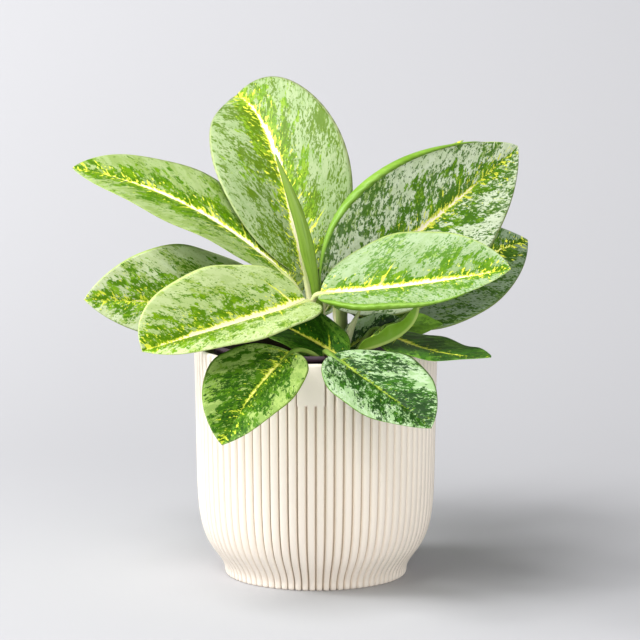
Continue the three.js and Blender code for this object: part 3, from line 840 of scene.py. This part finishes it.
def midrib(leaf):
    """A list of (point, along, across, up) from the foot of the blade to its tip."""
    point, before, line = Vector(leaf["base"]), None, []
    for step in range(MIDRIB_STEPS + 1):
        share = step / MIDRIB_STEPS
        heading = radians(leaf["heading"] + leaf["sweep"] * share)
        rise = radians(leaf["rise"] - leaf["droop"] * share ** leaf["bend"])
        along = Vector((cos(heading) * cos(rise), sin(heading) * cos(rise), sin(rise)))
        if before:
            point = point + (along + before) * leaf["length"] / MIDRIB_STEPS / 2
        before = along
        level = Vector((sin(heading), -cos(heading), 0))
        roll = radians(leaf["roll"] + leaf["twist"] * share)
        across = level * cos(roll) + level.cross(along) * sin(roll)
        line.append((point, along, across, across.cross(along)))
    return line


def frame_at(line, share):
    """Point and directions at any share of the midrib."""
    index, part = step_at(line, share)
    return [mix(a, b, part) for a, b in zip(line[index], line[index + 1])]


def half_width(leaf, share):
    widest = leaf["stalk_end"] / (leaf["stalk_end"] + leaf["tip_end"])
    shape = (share / widest) ** leaf["stalk_end"] * ((1 - share) / (1 - widest)) ** leaf["tip_end"]
    return max(leaf["width"] / 2 * shape, mix(STALK_EDGE, TIP_EDGE, share))


# %% [markdown]
# ## Leaves: the blade
#
# A blade is about 0.6 mm thick. It is folded at the midrib, each half arches a little, and the margins
# wave. The midrib lies in a narrow groove above and stands out as a rib below. A rolled lip goes on past
# the outline as an arc that turns back over the blade, which shows its plain underside. The rolled sheet
# runs from the left margin over the upper side to the right margin, and back along the underside.

# %% Blade
AROUND, ALONG, MIDRIB_CROWD = 84, 76, 1.3
UPPER_SLOT, UNDER_SLOT, STALK_SLOT = 0, 1, 2
BLADE_THICKNESS, EDGE_SHARPNESS = 0.6, 8
FOLD_AT_RIB, FOLD_LOSS = 1.4, 0.8  # each half slopes more at the midrib than at the margin
WAVE_HEIGHT, WAVES, WAVE_LAG = 0.9, 2.5, 2
LIP_TURN = radians(150)
LIP_AT_STALK, LIP_LOSS, LIP_END, LIP_ROUND = 1.35, 0.9, 1.15, 0.4
RIB_WIDTH = 1.5
RIB_ABOVE, RIB_ABOVE_LOSS, RIB_BELOW, RIB_BELOW_LOSS = 0.5, 0.7, 1.2, 1.1


def across_of(turn):
    """Place across the blade, -1 to 1, and whether it is the upper side; steps are finer at the midrib."""
    upper = turn <= 0.5
    even = 4 * turn - 1 if upper else 3 - 4 * turn
    return copysign(abs(even) ** MIDRIB_CROWD, even), upper


def along_of(share):
    """Rows of the grid crowd towards both ends, where the outline turns fastest."""
    return 0.5 - 0.5 * cos(pi * share)


def section_point(leaf, across, share, half):
    """(out, up, angle) of the middle of the blade at a place across it, from the midrib."""
    side = copysign(1, across)
    lip = leaf["lip_right"] if side > 0 else leaf["lip_left"]
    lip_rise = sin(pi * min(1, share * LIP_END)) ** LIP_ROUND
    lip_length = lip * half * (LIP_AT_STALK - LIP_LOSS * share) * lip_rise
    reach = abs(across) * (half + lip_length)
    fold = radians(leaf["fold"])
    flat = min(reach, half)
    part = flat / half
    angle = fold * (FOLD_AT_RIB - FOLD_LOSS * part)
    lean = fold * (FOLD_AT_RIB - FOLD_LOSS / 2 * part)
    out, up = flat * cos(lean), flat * sin(lean)
    if reach > half:
        bend_radius = lip_length / LIP_TURN
        turned = (reach - half) / bend_radius
        out += bend_radius * (sin(angle + turned) - sin(angle))
        up += bend_radius * (cos(angle) - cos(angle + turned))
        angle += turned
    wave = WAVE_HEIGHT * (half / (0.5 * leaf["width"])) * part * part
    up += wave * sin(tau * WAVES * share + (0 if side > 0 else WAVE_LAG))
    return side * out, up, side * angle


def blade_sheet(bm, leaf, line, seed):
    @lru_cache(maxsize=None)
    def row(share):
        return half_width(leaf, share), *frame_at(line, share)

    def place(turn, share):
        across_share, upper = across_of(turn)
        share = along_of(share)
        half, point, along, across, up = row(share)
        out, lift, angle = section_point(leaf, across_share, share, half)
        facing = up * cos(angle) - across * sin(angle)
        near_rib = exp(-(out / RIB_WIDTH) ** 2)
        edge = sqrt(max(0, 1 - abs(across_share) ** EDGE_SHARPNESS))
        if upper:
            height = BLADE_THICKNESS / 2 * edge - RIB_ABOVE * (1 - RIB_ABOVE_LOSS * share) * near_rib
        else:
            height = -BLADE_THICKNESS / 2 * edge - (RIB_BELOW - RIB_BELOW_LOSS * share) * near_rib
        return point + across * out + up * lift + facing * height

    def millimetres(turn, share):
        across_share, _ = across_of(turn)
        share = along_of(share)
        return across_share * half_width(leaf, share), leaf["length"] * share + seed

    def shares(turn, share):
        return (across_of(turn)[0] + 1) / 2, along_of(share)

    rolled_sheet(bm, AROUND, ALONG, place, {"blade_mm": millimetres, "blade_share": shares},
                 lambda turn, share: UPPER_SLOT if turn < 0.5 else UNDER_SLOT)


# %% [markdown]
# ## Leaves: the stalk
#
# The stalk wraps the cane at its foot, climbs, and levels out into the midrib. Its path is one Bezier curve
# from inside the cane to the foot of the blade, and the tube then runs on under the midrib until it has
# thinned away, as the real vein does. It is a little flattened, with a shallow channel on its upper side.

# %% Stalk
STALK = dict(root=3, end=1.9, tip=0.35, flatness=0.85, full_leaf=110, root_depth=0.6, lift=0.4, level=0.35,
    under_share=0.55)
CLIMB_POINTS, UNDER_POINTS = 24, 16
CHANNEL_DEPTH, CHANNEL_WIDTH = 0.22, 0.07
SINK_FROM, SINK_TO, SINK_STEPS = 0.5, 1.0, 4  # how far below the midrib the stalk's line runs on


def stalk_path(leaf, line):
    """Points of the stalk from the cane to the blade."""
    cane_x, cane_y, cane_radius = CANES[leaf["cane"]]
    end, along = line[0][0], line[0][1]
    outward = Vector((end.x - cane_x, end.y - cane_y, 0)).normalized()
    root = Vector((cane_x, cane_y, leaf["root"])) + outward * cane_radius * STALK["root_depth"]
    span = (end - root).length
    lean = radians(leaf["lean"])
    lift = outward * sin(lean) + Vector((0, 0, cos(lean)))
    return interpolate_bezier(root, root + lift * STALK["lift"] * span, end - along * STALK["level"] * span,
                              end, CLIMB_POINTS)


def stalk_sheet(bm, leaf, line):
    path = stalk_path(leaf, line)
    size = min(1, leaf["length"] / STALK["full_leaf"])
    climbing = len(path) - 1
    under = [frame_at(line, STALK["under_share"] * step / UNDER_POINTS)
             for step in range(1, UNDER_POINTS + 1)]
    path = path + [point - up * mix(SINK_FROM, SINK_TO, min(1, step / SINK_STEPS)) * size
                   for step, (point, _, _, up) in enumerate(under)]

    def skin(turn, share):
        place = share * (len(path) - 1)
        ahead = heading_at(path, share)
        if place <= climbing:
            radius = mix(STALK["root"], STALK["end"], sqrt(place / climbing))
            across = line[0][2]
        else:
            past = (place - climbing) / UNDER_POINTS
            radius = mix(STALK["end"], STALK["tip"], past ** 0.6)
            across = frame_at(line, STALK["under_share"] * past)[2]
        side = (across - ahead * across.dot(ahead)).normalized()
        up = side.cross(ahead)
        angle = tau * turn
        channel = 1 - CHANNEL_DEPTH * exp(-((turn - 0.25) / CHANNEL_WIDTH) ** 2)
        return along_list(path, share) + size * radius * channel * (
            side * cos(angle) + up * STALK["flatness"] * sin(angle))

    rolled_sheet(bm, around=14, along=60, place=skin, uv=ROUND_ALONG, material=lambda turn, share: STALK_SLOT)


# %% [markdown]
# ## Leaves: putting one together
#
# Each leaf is a blade and a stalk in one mesh, so nothing shows where they join. The stalks of the leaves
# with shaded looks get a darker green, a painted shade, and the others are pale.

# %% Fine leaves
# the looks that hold painted shade; their leaves also get the darker green stalk, a painted shade
SHADED_LOOKS = ("shade", "mottled_shade", "plain", "dark")
PATTERN_STEP = 1000  # each leaf reads the noise this much further on, so no two have the same pattern


def fine_leaf(name, row, number):
    leaf = {**LEAF_DEFAULTS, **row}
    line = midrib(leaf)
    bm = bmesh.new()
    blade_sheet(bm, leaf, line, PATTERN_STEP * number)
    stalk_sheet(bm, leaf, line)
    stalk = green_stalk if leaf["look"] in SHADED_LOOKS else pale_stalk
    materials = [leaf_finishes[leaf["look"]], underside, stalk]
    return finished_piece(bm, "grown_" + name, materials, [name])


for number, (name, row) in enumerate(LEAVES.items()):
    piece = fine_leaf(name, row, number)
print("one blade has", len(piece.data.polygons), "faces")

# %% [markdown]
# ## Rolled young leaves
#
# A new leaf comes up as a tight roll, like a pencil with a long point. The edge of the roll shows as one
# slanting line, so the radius steps up by a fraction of a millimetre along a slow spiral round the tube.

# %% Spears
SPEARS = dict(
    spear_main=dict(
        finish=young_leaf,
        line=[(1.5, 2, 150.3), (1.2, 1.4, 157), (-2.5, -0.5, 178), (-9.5, -2, 207), (-23, -3, 243.5)],
        radii=(3, 2.9, 2.9, 4.4, 3.6, 0.5)),
    spear_small=dict(
        finish=bud_sheath,
        line=[(17, -14, 131.3), (17.2, -14, 135), (20, -13.5, 144), (26, -12.5, 156.5)],
        radii=(1.9, 2.2, 2.6, 2.4, 1.6, 0.5)),
)
EDGE_STEP, EDGE_SPIRAL, EDGE_START = 0.13, 0.35, 0.6
SPEAR_FLATNESS = 0.85


def spear(name, row):
    bm = bmesh.new()
    path = smooth_line(row["line"], 12)

    def skin(turn, share):
        ahead = heading_at(path, share)
        side = (Vector((1, 0, 0)) - ahead * ahead.x).normalized()
        up = side.cross(ahead)
        overlap = 1 - EDGE_STEP * ((turn + EDGE_SPIRAL * share + EDGE_START) % 1) ** 3
        radius = along_list(row["radii"], share) * overlap
        angle = tau * turn
        return (along_list(path, share) + side * radius * cos(angle)
                + up * SPEAR_FLATNESS * radius * sin(angle))

    rolled_sheet(bm, around=48, along=90, place=skin, uv=ROUND_ALONG)
    finished_piece(bm, name + "_rolled", [row["finish"]], [name])


for name, row in SPEARS.items():
    spear(name, row)
print(len(SPEARS), "rolled young leaves")

# %% [markdown]
# ## Floor and backdrop
#
# A studio floor and wall are one sheet of pale card with a wide bend, so that no line shows where they
# meet. A grid is bent up behind the plant by one formula: flat, then part of a circle. It ends a little
# above what the camera sees, because a full wall would hide the plant from a camera behind it.

# %% Studio card
def studio_card():
    material, tree = new_material("pale_studio_card")
    surface(tree, linear("#B0B0B3"), 0.75)
    bm = bmesh.new()
    made = bmesh.ops.create_grid(bm, x_segments=2, y_segments=120, size=1)["verts"]
    half_across, front_edge, bend_start, bend_radius, last_turn = 6, -4.0, 0.36, 0.62, radians(57.8)
    for v in made:
        way = mix(front_edge, bend_start + bend_radius * last_turn, (v.co.y + 1) / 2)
        turned = max(way - bend_start, 0) / bend_radius
        v.co = Vector((v.co.x * half_across, min(way, bend_start) + bend_radius * sin(turned),
                       bend_radius * (1 - cos(turned))))
    for face in bm.faces:
        face.smooth = True
    card_object = add_object(bm, "studio_card", [material])
    return card_object


print("studio card", len(studio_card().data.polygons), "faces")

# %% [markdown]
# ## Light
#
# One large soft light stands high on the left and a little in front, which gives the soft shadow to the
# right. A weak fill in front opens the dark places between the low leaves, and a wash brightens the left of
# the wall. A pale world does the rest. A light's size, not its power, sets how soft its shadow is. The
# "Standard" view shows the colours as they are, where a film-like view would grey the greens and the card.

# %% Lights
def soft_light(name, place, target, size, power):
    """A square area light; place, target and size are in metres, power in watts."""
    data = bpy.data.lights.new(name, "AREA")
    data.shape = "SQUARE"
    data.size = size
    data.energy = power
    light = bpy.data.objects.new(name, data)
    light.location = place
    light.rotation_euler = (Vector(target) - Vector(place)).to_track_quat("-Z", "Y").to_euler()
    bpy.context.scene.collection.objects.link(light)


soft_light("window_left", (-0.85, -0.85, 2.1), (0, 0, 0.12), 1.25, 60)
soft_light("front_fill", (0.6, -1.85, 0.6), (0, 0, 0.14), 1.2, 19)
soft_light("wall_wash", (-1.8, 0, 1.3), (-0.85, 0.5, 0.1), 0.8, 42)
world = bpy.data.worlds.new("studio")
world.use_nodes = True
background = world.node_tree.nodes["Background"].inputs
background["Color"].default_value = linear("#F3F3F4")
background["Strength"].default_value = 0.335
bpy.context.scene.world = world
bpy.context.scene.view_settings.view_transform = "Standard"
print("three lights and a world of strength", round(background["Strength"].default_value, 3))
